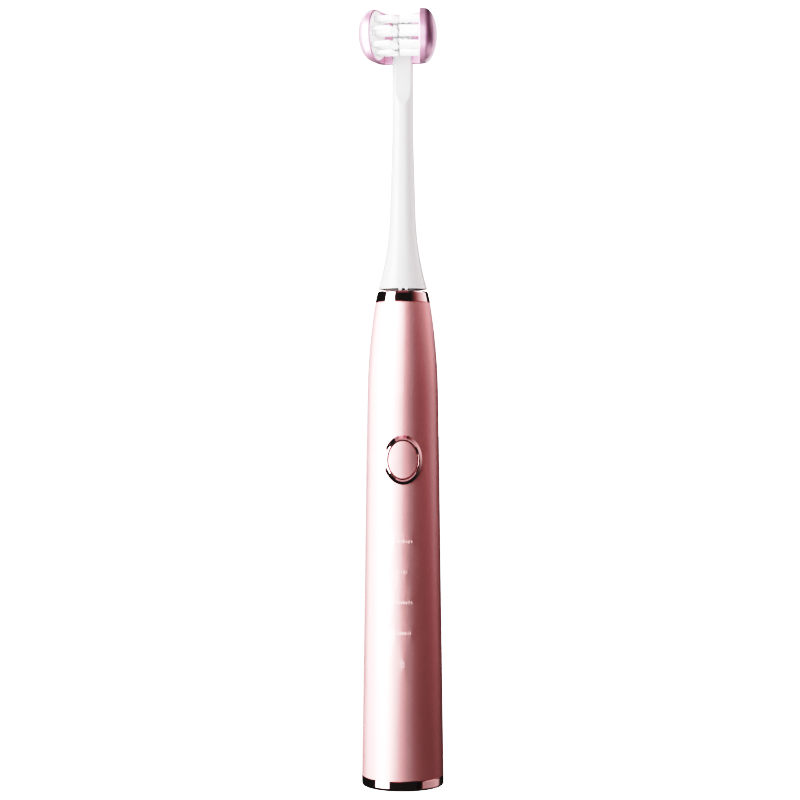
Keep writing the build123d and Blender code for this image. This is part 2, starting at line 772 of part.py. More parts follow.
def neck_outside():
    """Flared foot, tapering stem and straight top."""
    foot = (NECK_FOOT_R, NECK_BOTTOM)
    waist = (FLARE_TOP_R, FLARE_TOP)
    stem = (NECK_R, STEM_TOP)
    taper = Line(waist, stem)
    flare = TangentArc(waist, foot, tangent=-(taper % 0))
    rest = Polyline(stem, (NECK_R, NECK_TOP), (0, NECK_TOP), (0, NECK_BOTTOM), foot)
    return revolve(Plane.XZ * make_face([flare, taper, rest]), Axis.Z, 360)


def neck_bore():
    """Hollow of the skirt, with the clip's socket above it."""
    outline = (
        (0, NECK_BOTTOM),
        (SKIRT_BORE_R, NECK_BOTTOM),
        (SOCKET_R, SOCKET_BOTTOM),
        (SOCKET_R, SOCKET_TOP),
        (0, SOCKET_TOP),
    )
    return turned(outline)


def brush_neck():
    """Neck with its socket, a flat with a curved run-out below the head and a slimmer core inside the head."""
    neck = neck_outside() - neck_bore()
    neck = fillet(outer_ring(neck, 0), NECK_FOOT_ROUND)
    wide = 2 * NECK_R
    middle = (Align.CENTER, Align.CENTER, Align.CENTER)
    turn = Plane((0, FACET_Y - FACET_RUNOUT_R, FACET_BOTTOM), z_dir=(1, 0, 0))
    run_out = turn * Cylinder(FACET_RUNOUT_R, 2 * wide, align=middle)
    neck -= run_out + block((-wide, wide), (-FACET_RUNOUT_R, FACET_Y), (FACET_BOTTOM, NECK_TOP))
    front = block((-wide, wide), (-wide, CORE_FRONT_Y), (CORE_LEDGE, NECK_TOP))
    back = block((-wide, wide), (CORE_BACK_Y, wide), (CORE_STEP, NECK_TOP))
    neck -= in_head(front + back)
    for x in RIB_XS:
        rib_x = (x - RIB_WIDTH / 2, x + RIB_WIDTH / 2)
        neck += block(rib_x, RIB_Y, (NECK_BOTTOM - RIB_HEIGHT, NECK_BOTTOM + RIB_ROOT))
    return neck - rear_tuft_holes()


def neck_core(gap):
    """Room for the end of the neck inside the head, with its back cut down above the step."""
    top = NECK_TOP + gap
    bar = disc(NECK_R + gap, CORE_BOTTOM, top)
    back = block((-HEAD_SPAN, HEAD_SPAN), (CORE_BACK_Y + gap, HEAD_SPAN), (CORE_STEP + gap, top))
    return in_head(bar - back)


def shaft_clip():
    """Steel sleeve with a keyed bore, inside the neck."""
    sleeve = disc(SOCKET_R - FIT, CLIP_BOTTOM, CLIP_TOP)
    return sleeve - shaft_section(SHAFT_R + RUNNING, CLIP_BOTTOM, CLIP_TOP)


# --- Brush head ---


def wall_section():
    """Section of the cover's wall: x out of the head from its flat inner face, y up."""
    flat = Polyline((EAR_RIM, EAR_R), (0, EAR_R), (0, -EAR_R), (EAR_RIM, -EAR_R))
    dome = EllipticalCenterArc((EAR_RIM, 0), EAR_DOME, EAR_R, -90, arc_size=180)
    return make_face([flat, dome])


def ear_front():
    """Rounded front half of an ear, facing -Y with its inner face on X = 0."""
    upper = wall_section() & Pos(0, EAR_R) * Rectangle(HEAD_SPAN, 2 * EAR_R)
    whole = revolve(Plane.XZ * upper, Axis.X, 360)
    return whole & block((0, HEAD_SPAN), (-HEAD_SPAN, 0), (-HEAD_SPAN, HEAD_SPAN))


def ear_run():
    """Length of an ear's straight run from its centre back to the wall between the ears."""
    return (WALL_FACE_Y - EAR_Y) / math.cos(math.radians(EAR_SPLAY))


def corner_x():
    """Half the width of the wall's face between the ears."""
    return EAR_X - ear_run() * math.sin(math.radians(EAR_SPLAY))


def cover_side():
    """Right ear, its straight run back and the rounded corner behind it."""
    section = Plane.XZ * wall_section()
    ear = ear_front() + extrude(section, -ear_run())
    corner = Pos(0, ear_run(), 0) * revolve(section, Axis.Z, 90 - EAR_SPLAY)
    return Pos(EAR_X, EAR_Y, 0) * Rot(0, 0, EAR_SPLAY) * (ear + corner)


def inner_rims(cover):
    """Edges along the cover's flat inner faces, without the upright ones in the corners."""
    side = math.tan(math.radians(EAR_SPLAY))

    def is_inner(point):
        on_wall = abs(point.Y - WALL_FACE_Y) < NEAR
        on_face = abs(abs(point.X) - corner_x() - side * (WALL_FACE_Y - point.Y)) < NEAR
        return on_wall or on_face

    rims = cover.edges().filter_by(lambda edge: all(is_inner(edge @ t) for t in (0.05, 0.5, 0.95)))
    return [edge for edge in rims if edge.geom_type == GeomType.CIRCLE or abs((edge % 0.5).Z) < 0.5]


def saddle():
    """Shallow round channel from front to back that dips the top of the wall between the ears."""
    radius = (corner_x() ** 2 + SADDLE**2) / (2 * SADDLE)
    middle = (Align.CENTER, Align.CENTER, Align.CENTER)
    channel = Plane((0, 0, EAR_R - SADDLE + radius), z_dir=(0, 1, 0))
    return channel * Cylinder(radius, 4 * HEAD_SPAN, align=middle)


def cover_envelope():
    """Barrel about the middle of the ears that rounds off the cover's back corners, open to the front."""
    arc = EllipticalCenterArc((0, 0), BARREL_R, BARREL_HALF, -90, arc_size=180)
    outline = make_face([arc, Line((0, -BARREL_HALF), (0, BARREL_HALF))])
    barrel = Pos(0, EAR_Y, 0) * revolve(Plane.XZ * outline, Axis.Z, 360)
    return barrel + block((-HEAD_SPAN, HEAD_SPAN), (-2 * HEAD_SPAN, EAR_Y), (-HEAD_SPAN, HEAD_SPAN))


def head_cover():
    """Pink moulding: both ears and the wall that joins them around the neck's core."""
    side = cover_side()
    back = extrude(Plane.YZ * wall_section(), corner_x(), both=True)
    cover = side + mirror(side, about=Plane.YZ) + Pos(0, WALL_FACE_Y, 0) * back
    cover = fillet(inner_rims(cover), EAR_ROUND) & cover_envelope()
    cover = in_head(Pos(0, 0, HEAD_Z) * (cover - saddle()))
    recess = disc(PLATE_R, 0, PLATE_RECESS + PLATE + FIT)
    for ear in (-1, 1):
        cover -= on_ear(ear, recess)
    return cover - neck_core(FIT)


def on_ear(side, shape):
    """Places a piece drawn with x forward along an ear's face and z out of the head."""
    splay = math.radians(EAR_SPLAY)
    forward = (side * math.sin(splay), -math.cos(splay), 0)
    outward = (side * math.cos(splay), math.sin(splay), 0)
    return in_head(Plane((side * EAR_X, EAR_Y, HEAD_Z), x_dir=forward, z_dir=outward) * shape)


def ear_sites(side):
    """Place and radius of each tuft on an ear's face. The face's own y points up on the left ear only."""
    sites = []
    for height, radius, first, count, pitch in EAR_ROWS:
        for i in range(count):
            sites.append((first + i * pitch, -side * height, radius))
    return sites


def rear_sites():
    """Place of each tuft on the core between the ears."""
    return [(x, HEAD_Z + height) for height in REAR_ROWS for x in REAR_COLUMNS]


def rear_tuft_holes():
    """Blind holes in the core for the rear tufts."""
    depth = (CORE_FRONT_Y, CORE_FRONT_Y + HOLE_DEPTH)
    return in_head(Compound([across(REAR_TUFT_R + TUFT_GAP, x, z, depth) for x, z in rear_sites()]))


def bristle_plate(side):
    """White disc in an ear's recess, drilled for its tufts."""
    plate = disc(PLATE_R - FIT, PLATE_RECESS, PLATE_RECESS + PLATE)
    for x, y, radius in ear_sites(side):
        plate -= Pos(x, y, 0) * disc(radius + TUFT_GAP, 0, PLATE_RECESS + HOLE_DEPTH)
    return on_ear(side, plate)


def ear_bristles(side):
    """Tufts of an ear, reaching in to the middle of the head."""
    root = PLATE_RECESS + HOLE_DEPTH - STAPLE_DEPTH
    tufts = []
    for x, y, radius in ear_sites(side):
        tufts.append(on_ear(side, Pos(x, y, 0) * disc(radius, -BRISTLE_LENGTH, root)))
    return Compound([tuft.solid() for tuft in tufts])


def rear_bristles():
    """Short tufts on the core, facing forward."""
    depth = (CORE_FRONT_Y - REAR_BRISTLE_LENGTH, CORE_FRONT_Y + HOLE_DEPTH - STAPLE_DEPTH)
    tufts = [in_head(across(REAR_TUFT_R, x, z, depth)) for x, z in rear_sites()]
    return Compound([tuft.solid() for tuft in tufts])


def bristle_anchors():
    """Brass staple at the bottom of each tuft's hole."""
    wide = (-STAPLE_HALF_WIDTH, STAPLE_HALF_WIDTH)
    tall = (-STAPLE_HALF_HEIGHT, STAPLE_HALF_HEIGHT)
    deep = (HOLE_DEPTH - STAPLE_DEPTH + TUFT_GAP, HOLE_DEPTH)
    anchors = []
    for side in (-1, 1):
        staple = Pos(0, 0, PLATE_RECESS) * block(wide, tall, deep)
        anchors += [on_ear(side, Pos(x, y, 0) * staple) for x, y, _ in ear_sites(side)]
    staple = Pos(0, CORE_FRONT_Y, 0) * block(wide, deep, tall)
    anchors += [in_head(Pos(x, 0, z) * staple) for x, z in rear_sites()]
    return Compound([anchor.solid() for anchor in anchors])


# Pieces that take no side, and the sides of those that do
PIECES = (
    mode_marks, handle_shell, top_collar, bottom_band, base_cap, base_seal, coil_bobbin, charging_coil,
    coil_wires, chassis, battery_cell, battery_tabs, circuit_board, board_screws, board_chips, status_lights,
    light_baffle, button_bezel, button_cap, button_seal, switch_body, switch_plunger, motor_housing,
    motor_cap_upper, motor_cap_lower, bearing_upper, bearing_lower, stator_core, stator_coils, rotor_yoke,
    rotor_magnets, drive_shaft, motor_dampers, motor_clip, motor_wires, seal_carrier, carrier_screws,
    shaft_seal, brush_neck, shaft_clip, head_cover, rear_bristles, bristle_anchors,
)
EARS = (("left", -1), ("right", 1))


def main():
    """Writes every piece to a file with its function's name, and each ear's with its side."""
    os.makedirs("parts", exist_ok=True)
    for piece in PIECES:
        export_step(piece(), f"parts/{piece.__name__}.step")
    for name, side in EARS:
        export_step(bristle_plate(side), f"parts/{name}_bristle_plate.step")
        export_step(ear_bristles(side), f"parts/{name}_bristles.step")


main()
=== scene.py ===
import json
import math
import random

import bpy
import numpy as np
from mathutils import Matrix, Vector


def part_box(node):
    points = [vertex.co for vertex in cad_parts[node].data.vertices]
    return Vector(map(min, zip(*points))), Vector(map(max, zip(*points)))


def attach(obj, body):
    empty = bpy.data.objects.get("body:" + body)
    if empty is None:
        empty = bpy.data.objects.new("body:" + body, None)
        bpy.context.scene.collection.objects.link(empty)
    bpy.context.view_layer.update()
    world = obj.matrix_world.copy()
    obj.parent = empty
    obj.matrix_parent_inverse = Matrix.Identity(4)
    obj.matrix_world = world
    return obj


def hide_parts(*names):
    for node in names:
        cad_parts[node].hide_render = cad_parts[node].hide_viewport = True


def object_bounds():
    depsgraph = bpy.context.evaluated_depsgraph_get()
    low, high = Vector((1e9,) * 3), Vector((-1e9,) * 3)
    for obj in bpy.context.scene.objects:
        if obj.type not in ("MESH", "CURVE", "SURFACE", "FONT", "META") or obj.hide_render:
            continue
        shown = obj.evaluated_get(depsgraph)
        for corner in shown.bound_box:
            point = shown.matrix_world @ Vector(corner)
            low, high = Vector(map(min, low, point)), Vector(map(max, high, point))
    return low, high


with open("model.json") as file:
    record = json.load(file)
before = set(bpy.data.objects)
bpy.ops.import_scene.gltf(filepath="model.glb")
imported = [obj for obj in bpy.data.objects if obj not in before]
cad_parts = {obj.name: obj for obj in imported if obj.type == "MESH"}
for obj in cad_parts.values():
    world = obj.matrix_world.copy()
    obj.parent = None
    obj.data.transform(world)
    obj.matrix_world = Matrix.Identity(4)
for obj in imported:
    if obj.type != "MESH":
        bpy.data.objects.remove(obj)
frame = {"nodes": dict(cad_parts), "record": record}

CAD_LOW, CAD_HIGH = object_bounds()
SLOT_OF = {part["node"]: part["material_slot"] for part in frame["record"]["subparts"]}
SIDES = ("left", "right")
MM = 0.001

# Camera: level, a little left of the handle's axis, at half the object's height
CAMERA_DISTANCE = 0.620
CAMERA_SIDE = -0.0009
CAMERA_HEIGHT = 0.1221
LENS = 87.75
SENSOR = 36.0

# Studio: angles are in degrees round the object, 0 towards the camera and positive to its right
STUDIO_RADIUS = 0.9
BACKDROP_RADIUS = 6.0
BACKDROP_LIGHT = 4.0
BACKDROP_RINGS = 16
BACKDROP_SIDES = 32
FLOOR_RADIUS = 5.9
FLOOR_SIDES = 64
FLOOR_GREY = 0.9
FLOOR_ROUGHNESS = 0.9
FLOOR_GLOW = 2.4
AMBIENT = 0.05

# Curved reflector on the right: its reach, its steps, and how its light grows across and upwards
PANEL_FROM = 40
PANEL_TO = 128
PANEL_LOW = -0.5
PANEL_HIGH = 1.3
PANEL_STEPS = 24
PANEL_LEVELS = 12
PANEL_NEAR = 0.09
PANEL_ACROSS = 1.25
PANEL_ACROSS_POWER = 1.3
PANEL_FOOT = 0.14
PANEL_RISE = 19
PANEL_RISE_POWER = 3
PANEL_TOP = 1.35
PANEL_REDNESS = 0.42
PANEL_REDNESS_POWER = 1.5
PANEL_GREEN = 0.93
PANEL_BLUE = 0.94

# Groups of pieces for the lights that fall on some pieces only
FILAMENTS = tuple(f"{place}_filaments" for place in (*SIDES, "rear"))
BRUSH = FILAMENTS + tuple(f"{side}_bristle_plate" for side in SIDES)
WHITE_PIECES = (*BRUSH, "brush_neck")
LIT = {
    "white": WHITE_PIECES,
    "neck": ("brush_neck",),
    "brush": BRUSH,
    "cover": ("head_cover",),
    "bezel": ("button_bezel",),
    "button": ("button_cap",),
    "band": ("bottom_band",),
    "handle": ("handle_shell", "mode_marks"),
    "coat": ("handle_shell", "mode_marks", "button_cap"),
    "handle_left": ("handle_shell", "button_bezel"),
}
LEFT_OUT = {
    "not_own_key": (*WHITE_PIECES, "button_bezel", "button_cap"),
    "not_cover": ("head_cover",),
    "not_head": (*WHITE_PIECES, "head_cover"),
}

# The key lights share a place on the left and differ in height, length and the pieces they fall on
KEY_FROM = -82
KEY_TO = -39
KEY_ANGLE = (KEY_FROM + KEY_TO) / 2
KEY_WIDTH = 2 * STUDIO_RADIUS * math.tan(math.radians((KEY_TO - KEY_FROM) / 2))
BACK_DISTANCE = 0.75
WHITE = (1.0, 1.0, 1.0)
BLUSH = (1.0, 0.75, 0.78)
PALE_BLUSH = (1.0, 0.78, 0.8)
DEEP_ROSE = (1.0, 0.5, 0.58)

# Heights on the handle's axis that softboxes are aimed at. "level" is the softbox's own height.
MIDDLE_HEIGHT = (CAD_LOW.z + CAD_HIGH.z) / 2
UPPER_AIM_RISE = 0.13
AIMS = {"middle": MIDDLE_HEIGHT, "above_head": MIDDLE_HEIGHT + UPPER_AIM_RISE, "head": CAD_HIGH.z}

# Softboxes: name, pieces, angle, height, distance, aim, width, length, radiance, colour
SOFTBOXES = (
    ("key", "not_own_key", KEY_ANGLE, 0.5, STUDIO_RADIUS, "level", KEY_WIDTH, 1.08, 10.5, WHITE),
    ("key_foot", "not_own_key", KEY_ANGLE, -0.14, STUDIO_RADIUS, "level", KEY_WIDTH, 0.2, 4.5, WHITE),
    ("white_key", "white", KEY_ANGLE, 0.4, STUDIO_RADIUS, "level", KEY_WIDTH, 1.28, 7.5, WHITE),
    ("button_key", "button", KEY_ANGLE, 0.4, STUDIO_RADIUS, "level", KEY_WIDTH, 1.28, 9.0, WHITE),
    ("bezel_key", "bezel", KEY_ANGLE, 0.12, STUDIO_RADIUS, "level", KEY_WIDTH, 0.7, 8.0, WHITE),
    ("key_upper", "handle", -45, 0.75, STUDIO_RADIUS, "above_head", 0.2, 1.0, 24.0, WHITE),
    ("overhead", "not_head", 0, 0.95, BACK_DISTANCE, "middle", 1.0, 0.45, 0.7, DEEP_ROSE),
    ("key_soft", "coat", -18, 0.55, STUDIO_RADIUS, "middle", 0.5, 1.1, 3.1, WHITE),
    ("edge_left", "handle_left", -108, 0.45, STUDIO_RADIUS, "middle", 0.5, 1.4, 3.6, WHITE),
    ("edge_right", "handle", 142, 0.8, STUDIO_RADIUS, "middle", 0.3, 1.2, 2.6, WHITE),
    ("floor_bounce", "handle", 70, -0.7, STUDIO_RADIUS, "middle", 1.6, 0.5, 0.7, WHITE),
    ("bezel_front", "bezel", 12, 0.35, STUDIO_RADIUS, "middle", 1.3, 0.9, 0.7, BLUSH),
    ("bezel_above", "bezel", -28, 0.95, STUDIO_RADIUS, "middle", 1.3, 0.8, 0.5, BLUSH),
    ("band_right", "band", 88, -0.2, 0.72, "level", 0.9, 0.6, 0.5, PALE_BLUSH),
    ("back_left", "not_cover", -150, 1.15, BACK_DISTANCE, "middle", 0.8, 0.6, 5.0, WHITE),
    ("back_right", "not_cover", 150, 1.15, BACK_DISTANCE, "middle", 0.8, 0.6, 5.0, WHITE),
)

# Fills aimed at the head, all of one size and distance: name, pieces, angle, height, radiance, shadow
FILL_SIZE = 0.7
FILL_DISTANCE = 0.8
FILLS = (
    ("neck_right", "neck", 84, -0.1, 3.9, True),
    ("neck_front", "neck", 8, 0.2, 2.5, False),
    ("brush_front", "brush", 2, 0.28, 1.8, True),
    ("brush_under", "brush", -4, -0.35, 3.4, False),
    ("brush_even", "brush", 6, 0.2, 4.4, False),
    ("brush_right", "brush", 72, -0.3, 3.2, False),
    ("cover_even", "cover", 4, 0.3, 1.4, False),
    ("cover_below", "cover", 10, -0.6, 1.9, True),
    ("cover_below_left", "cover", -70, -0.6, 7.0, True),
    ("cover_right", "cover", 114, -0.2, 1.2, True),
    ("cover_right_upper", "cover", 118, 0.5, 0.6, True),
    ("cover_back_left", "cover", -150, 0.9, 1.8, True),
    ("cover_back_right", "cover", 152, 0.3, 1.4, True),
)

# Film response: scene light against picture light, from a dark toe to a soft white shoulder
FILM_WHITE = 3.3
FILM = (
    (0.0, 0.0),
    (0.166, 0.039),
    (0.3025, 0.167),
    (0.55, 0.418),
    (1.0, 0.776),
    (1.82, 0.955),
    (FILM_WHITE, 1.0),
)
ALL_CHANNELS = 3

# Filaments. Each ring gives a share of the length and of the radius.
FILAMENT_RINGS = ((0.0, 1.0), (0.5, 1.0), (0.93, 1.0), (0.985, 0.72), (1.0, 0.25))
FILAMENT_R = 0.085 * MM
FILAMENT_PITCH = 0.2 * MM
FILAMENT_SIDES = 6
FILAMENT_SPLAY = 0.09
LENGTH_SPREAD = 0.12 * MM
BRISTLE_SEED = 11
SAME_POINT = 0.002 * MM


# --- Materials ---


class Finish:
    """One material: a Principled shader, with short calls that feed it from procedural textures."""

    def __init__(self, name, colour, settings):
        self.material = bpy.data.materials.new(name)
        self.material.use_nodes = True
        self.nodes = self.material.node_tree.nodes
        self.links = self.material.node_tree.links
        self.shader = self.nodes["Principled BSDF"]
        self.coords = self.nodes.new("ShaderNodeTexCoord")
        self.colour = colour
        self.normal = None
        self.shader.inputs["Base Color"].default_value = (*colour, 1)
        for socket, value in settings.items():
            self.shader.inputs[socket].default_value = value

    def texture(self, kind, output, scale, stretch=(1, 1, 1), **settings):
        """Output of a procedural texture in the object's metres, drawn out or squeezed along each axis."""
        place = self.nodes.new("ShaderNodeMapping")
        place.inputs["Scale"].default_value = stretch
        self.links.new(self.coords.outputs["Object"], place.inputs["Vector"])
        node = self.nodes.new(f"ShaderNodeTex{kind}")
        self.links.new(place.outputs["Vector"], node.inputs["Vector"])
        node.inputs["Scale"].default_value = scale
        for name, value in settings.items():
            if name in node.inputs:
                node.inputs[name].default_value = value
            else:
                setattr(node, name, value)
        return node.outputs[output]

    def noise(self, scale, stretch=(1, 1, 1), detail=3.0):
        """Soft cloudy noise."""
        return self.texture("Noise", "Fac", scale, stretch, Detail=detail)

    def cells(self, scale, output="Distance"):
        """Small random cells."""
        return self.texture("Voronoi", output, scale)

    def lines(self, scale, direction, distortion=0.0):
        """Even bands across one axis."""
        return self.texture("Wave", "Fac", scale, bands_direction=direction, Distortion=distortion)

    def tint(self, texture, darker, lighter):
        """Base colour that a texture moves between a darker and a lighter share of itself."""
        blend = self.nodes.new("ShaderNodeMix")
        blend.data_type = "RGBA"
        self.links.new(texture, blend.inputs["Factor"])
        blend.inputs["A"].default_value = (*(c * darker for c in self.colour), 1)
        blend.inputs["B"].default_value = (*(min(c * lighter, 1.0) for c in self.colour), 1)
        self.links.new(blend.outputs["Result"], self.shader.inputs["Base Color"])
        return self

    def rough(self, texture, low, high):
        """Roughness that a texture moves between two values."""
        spread = self.nodes.new("ShaderNodeMapRange")
        spread.inputs["To Min"].default_value = low
        spread.inputs["To Max"].default_value = high
        self.links.new(texture, spread.inputs["Value"])
        self.links.new(spread.outputs["Result"], self.shader.inputs["Roughness"])
        return self

    def bump(self, texture, strength, height):
        """Relief from a texture, on top of any relief before it."""
        node = self.nodes.new("ShaderNodeBump")
        node.inputs["Strength"].default_value = strength
        node.inputs["Distance"].default_value = height
        self.links.new(texture, node.inputs["Height"])
        if self.normal is not None:
            self.links.new(self.normal, node.inputs["Normal"])
        self.normal = node.outputs["Normal"]
        self.links.new(self.normal, self.shader.inputs["Normal"])
        return self


def satin_pearl(name, colour, roughness):
    """Satin rose-gold coat: fine pearl flakes under a thin clear coat, with slow changes of gloss."""
    finish = Finish(name, colour, {"Metallic": 0.8, "Coat Weight": 0.1, "Coat Roughness": 0.3})
    finish.tint(finish.cells(5200, "Color"), 0.95, 1.04)
    spread = 0.035
    finish.rough(finish.noise(70), roughness - spread, roughness + spread)
    finish.bump(finish.noise(7000, detail=1.0), 0.12, 0.006 * MM)
    return finish.material


def polished_plating(name, colour):
    """Mirror-bright rose plating, with the slightest unevenness in its polish."""
    finish = Finish(name, colour, {"Metallic": 1.0})
    finish.tint(finish.noise(140), 0.97, 1.02)
    finish.rough(finish.noise(260), 0.07, 0.12)
    finish.bump(finish.noise(900), 0.05, 0.002 * MM)
    return finish.material


def moulded(name, colour, roughness, grain, settings=None):
    """Injection-moulded plastic with a fine grain and slow changes of gloss."""
    finish = Finish(name, colour, {"IOR": 1.49, **(settings or {})})
    finish.tint(finish.noise(90), 0.97, 1.02)
    finish.rough(finish.noise(220), roughness - 0.04, roughness + 0.05)
    finish.bump(finish.noise(2600, detail=2.0), grain, 0.01 * MM)
    return finish.material


def polished_white(name, colour):
    """Glossy white moulding that lets a little light in, with faint flow marks along its length."""
    inside = {"Subsurface Weight": 0.25, "Subsurface Radius": (1.0, 0.9, 0.9), "Subsurface Scale": 0.9 * MM}
    finish = Finish(name, colour, {"IOR": 1.5, "Coat Weight": 0.25, "Coat Roughness": 0.12, **inside})
    finish.tint(finish.noise(120), 0.985, 1.01)
    finish.rough(finish.noise(160), 0.26, 0.34)
    finish.bump(finish.noise(420, (1, 1, 0.12)), 0.06, 0.02 * MM)
    return finish.material


def polished_pink(name, colour):
    """Glossy pink moulding with a pearly depth."""
    finish = Finish(name, colour, {"Metallic": 0.5, "Coat Weight": 0.3, "Coat Roughness": 0.15})
    finish.tint(finish.noise(130), 0.96, 1.03)
    finish.rough(finish.noise(180), 0.34, 0.42)
    finish.bump(finish.noise(3200, detail=1.5), 0.06, 0.006 * MM)
    return finish.material


def nylon(name, colour):
    """Frosted nylon filament."""
    inside = {"Subsurface Weight": 0.35, "Subsurface Radius": (1.0, 1.0, 1.0), "Subsurface Scale": 0.4 * MM}
    finish = Finish(name, colour, {"IOR": 1.53, **inside})
    finish.tint(finish.noise(600), 0.95, 1.03)
    finish.rough(finish.noise(900), 0.32, 0.45)
    finish.bump(finish.noise(9000, (1, 1, 0.3)), 0.08, 0.004 * MM)
    return finish.material


def rubber(name, colour):
    """Matte elastomer with a dusty bloom."""
    finish = Finish(name, colour, {"IOR": 1.5, "Sheen Weight": 0.15})
    finish.tint(finish.noise(400), 0.8, 1.25)
    finish.rough(finish.noise(500), 0.68, 0.85)
    finish.bump(finish.noise(6000), 0.2, 0.01 * MM)
    return finish.material


def brushed(name, colour, stretch):
    """Metal with fine tool lines along one direction."""
    finish = Finish(name, colour, {"Metallic": 1.0})
    finish.tint(finish.noise(60), 0.9, 1.06)
    finish.rough(finish.noise(400, stretch), 0.22, 0.42)
    finish.bump(finish.noise(3000, stretch), 0.15, 0.004 * MM)
    return finish.material


def winding(name, colour):
    """Turns of enamelled wire laid side by side."""
    finish = Finish(name, colour, {"Metallic": 0.9, "Coat Weight": 0.6, "Coat Roughness": 0.12})
    turns = finish.lines(1600, "Z", 0.4)
    finish.tint(turns, 0.55, 1.1)
    finish.rough(finish.noise(900), 0.25, 0.38)
    finish.bump(turns, 0.8, 0.05 * MM)
    return finish.material


def shrink_film(name, colour):
    """Plain shrink sleeve with slight puckers."""
    finish = Finish(name, colour, {"IOR": 1.5, "Coat Weight": 0.3, "Coat Roughness": 0.15})
    finish.tint(finish.noise(110), 0.9, 1.08)
    finish.rough(finish.noise(300), 0.22, 0.36)
    finish.bump(finish.noise(260, (1, 1, 0.25)), 0.2, 0.06 * MM)
    return finish.material


def laminate(name, colour):
    """Solder mask over the weave of the board."""
    finish = Finish(name, colour, {"IOR": 1.5, "Coat Weight": 0.35, "Coat Roughness": 0.2})
    finish.tint(finish.cells(700), 0.8, 1.3)
    finish.rough(finish.noise(500), 0.3, 0.45)
    finish.bump(finish.lines(900, "Z"), 0.15, 0.02 * MM)
    return finish.material


def sintered(name, colour):
    """Porous sintered bronze, dark with oil in its pores."""
    finish = Finish(name, colour, {"Metallic": 0.9})
    pores = finish.cells(4200)
    finish.tint(pores, 0.5, 1.15)
    finish.rough(finish.noise(900), 0.35, 0.5)
    finish.bump(pores, 0.3, 0.02 * MM)
    return finish.material


LENGTHWISE = (1, 1, 0.04)
ROUND = (0.04, 0.04, 1)
SOFT_SLEEVE = {"Coat Weight": 0.2, "Coat Roughness": 0.3}

FINISHES = {
    "rose_gold_satin": satin_pearl("rose_gold_satin", (0.87, 0.53, 0.54), 0.43),
    "rose_gold_satin_button": satin_pearl("rose_gold_satin_button", (0.90, 0.57, 0.58), 0.58),
    "mark_inlay": moulded("mark_inlay", (0.86, 0.62, 0.62), 0.46, 0.1, {"Metallic": 0.2}),
    "rose_gold_chrome": polished_plating("rose_gold_chrome", (0.95, 0.72, 0.72)),
    "base_plastic": moulded("base_plastic", (0.62, 0.34, 0.35), 0.5, 0.5),
    "seal_rubber": rubber("seal_rubber", (0.03, 0.03, 0.032)),
    "frame_plastic": moulded("frame_plastic", (0.78, 0.78, 0.75), 0.5, 0.4),
    "copper_winding": winding("copper_winding", (0.72, 0.30, 0.14)),
    "wire_sleeve": moulded("wire_sleeve", (0.50, 0.03, 0.02), 0.42, 0.3, SOFT_SLEEVE),
    "battery_wrap": shrink_film("battery_wrap", (0.04, 0.11, 0.28)),
    "nickel": brushed("nickel", (0.70, 0.68, 0.64), LENGTHWISE),
    "board_laminate": laminate("board_laminate", (0.012, 0.10, 0.035)),
    "screw_steel": brushed("screw_steel", (0.60, 0.60, 0.62), ROUND),
    "chip_resin": moulded("chip_resin", (0.012, 0.012, 0.013), 0.55, 0.6),
    "light_lens": moulded("light_lens", (0.85, 0.80, 0.55), 0.2, 0.1, {"Transmission Weight": 0.5}),
    "motor_steel": brushed("motor_steel", (0.55, 0.55, 0.57), ROUND),
    "bearing_bronze": sintered("bearing_bronze", (0.60, 0.36, 0.14)),
    "shaft_steel": brushed("shaft_steel", (0.72, 0.72, 0.74), ROUND),
    "white_gloss": polished_white("white_gloss", (0.80, 0.795, 0.80)),
    "white_plate": moulded("white_plate", (0.80, 0.78, 0.79), 0.42, 0.2),
    "pink_gloss": polished_pink("pink_gloss", (0.93, 0.60, 0.76)),
    "bristle_nylon": nylon("bristle_nylon", (0.90, 0.90, 0.905)),
}


def paint(piece, slot):
    """Gives a piece its slot's material and nothing else."""
    piece.data.materials.clear()
    piece.data.materials.append(FINISHES[slot])


# --- Bristles ---


def islands(mesh):
    """Vertex positions of each separate solid in a mesh whose faces may not share vertices."""
    points = np.array([vertex.co for vertex in mesh.vertices])
    places = {}
    owner = []
    for i, point in enumerate(points):
        owner.append(places.setdefault(tuple(np.round(point / SAME_POINT).astype(int)), i))
    group = list(range(len(points)))

    def find(i):
        while group[i] != i:
            group[i] = group[group[i]]
            i = group[i]
        return i

    for face in mesh.polygons:
        first = find(owner[face.vertices[0]])
        for i in face.vertices[1:]:
            group[find(owner[i])] = first
    solids = {}
    for i in range(len(points)):
        solids.setdefault(find(owner[i]), []).append(i)
    return [points[members] for members in solids.values()]


def tufts(node, root_side):
    """Root, direction, length and radius of each tuft of a node. Each root is its end nearer root_side."""
    found = []
    for points in islands(frame["nodes"][node].data):
        centre = (points.min(0) + points.max(0)) / 2
        axis = np.linalg.svd(points - points.mean(0), full_matrices=False)[2][0]
        ahead, behind = centre + axis - root_side, centre - axis - root_side
        if ahead @ ahead < behind @ behind:
            axis = -axis
        along = (points - centre) @ axis
        middle = centre + axis * (along.max() + along.min()) / 2
        length = along.max() - along.min()
        out = np.linalg.norm((points - centre) - np.outer(along, axis), axis=1).max()
        found.append((middle - axis * length / 2, axis, length, out))
    return sorted(found, key=lambda tuft: tuple(np.round(tuft[0], 6)))


def filament_places(radius):
    """Even staggered places for the filaments inside a tuft."""
    reach = int(radius / FILAMENT_PITCH) + 1
    places = []
    for row in range(-reach, reach + 1):
        for column in range(-reach, reach + 1):
            x = (column + 0.5 * (row % 2)) * FILAMENT_PITCH
            y = row * FILAMENT_PITCH * math.sqrt(0.75)
            if math.hypot(x, y) <= radius - FILAMENT_R:
                places.append((x, y))
    return places


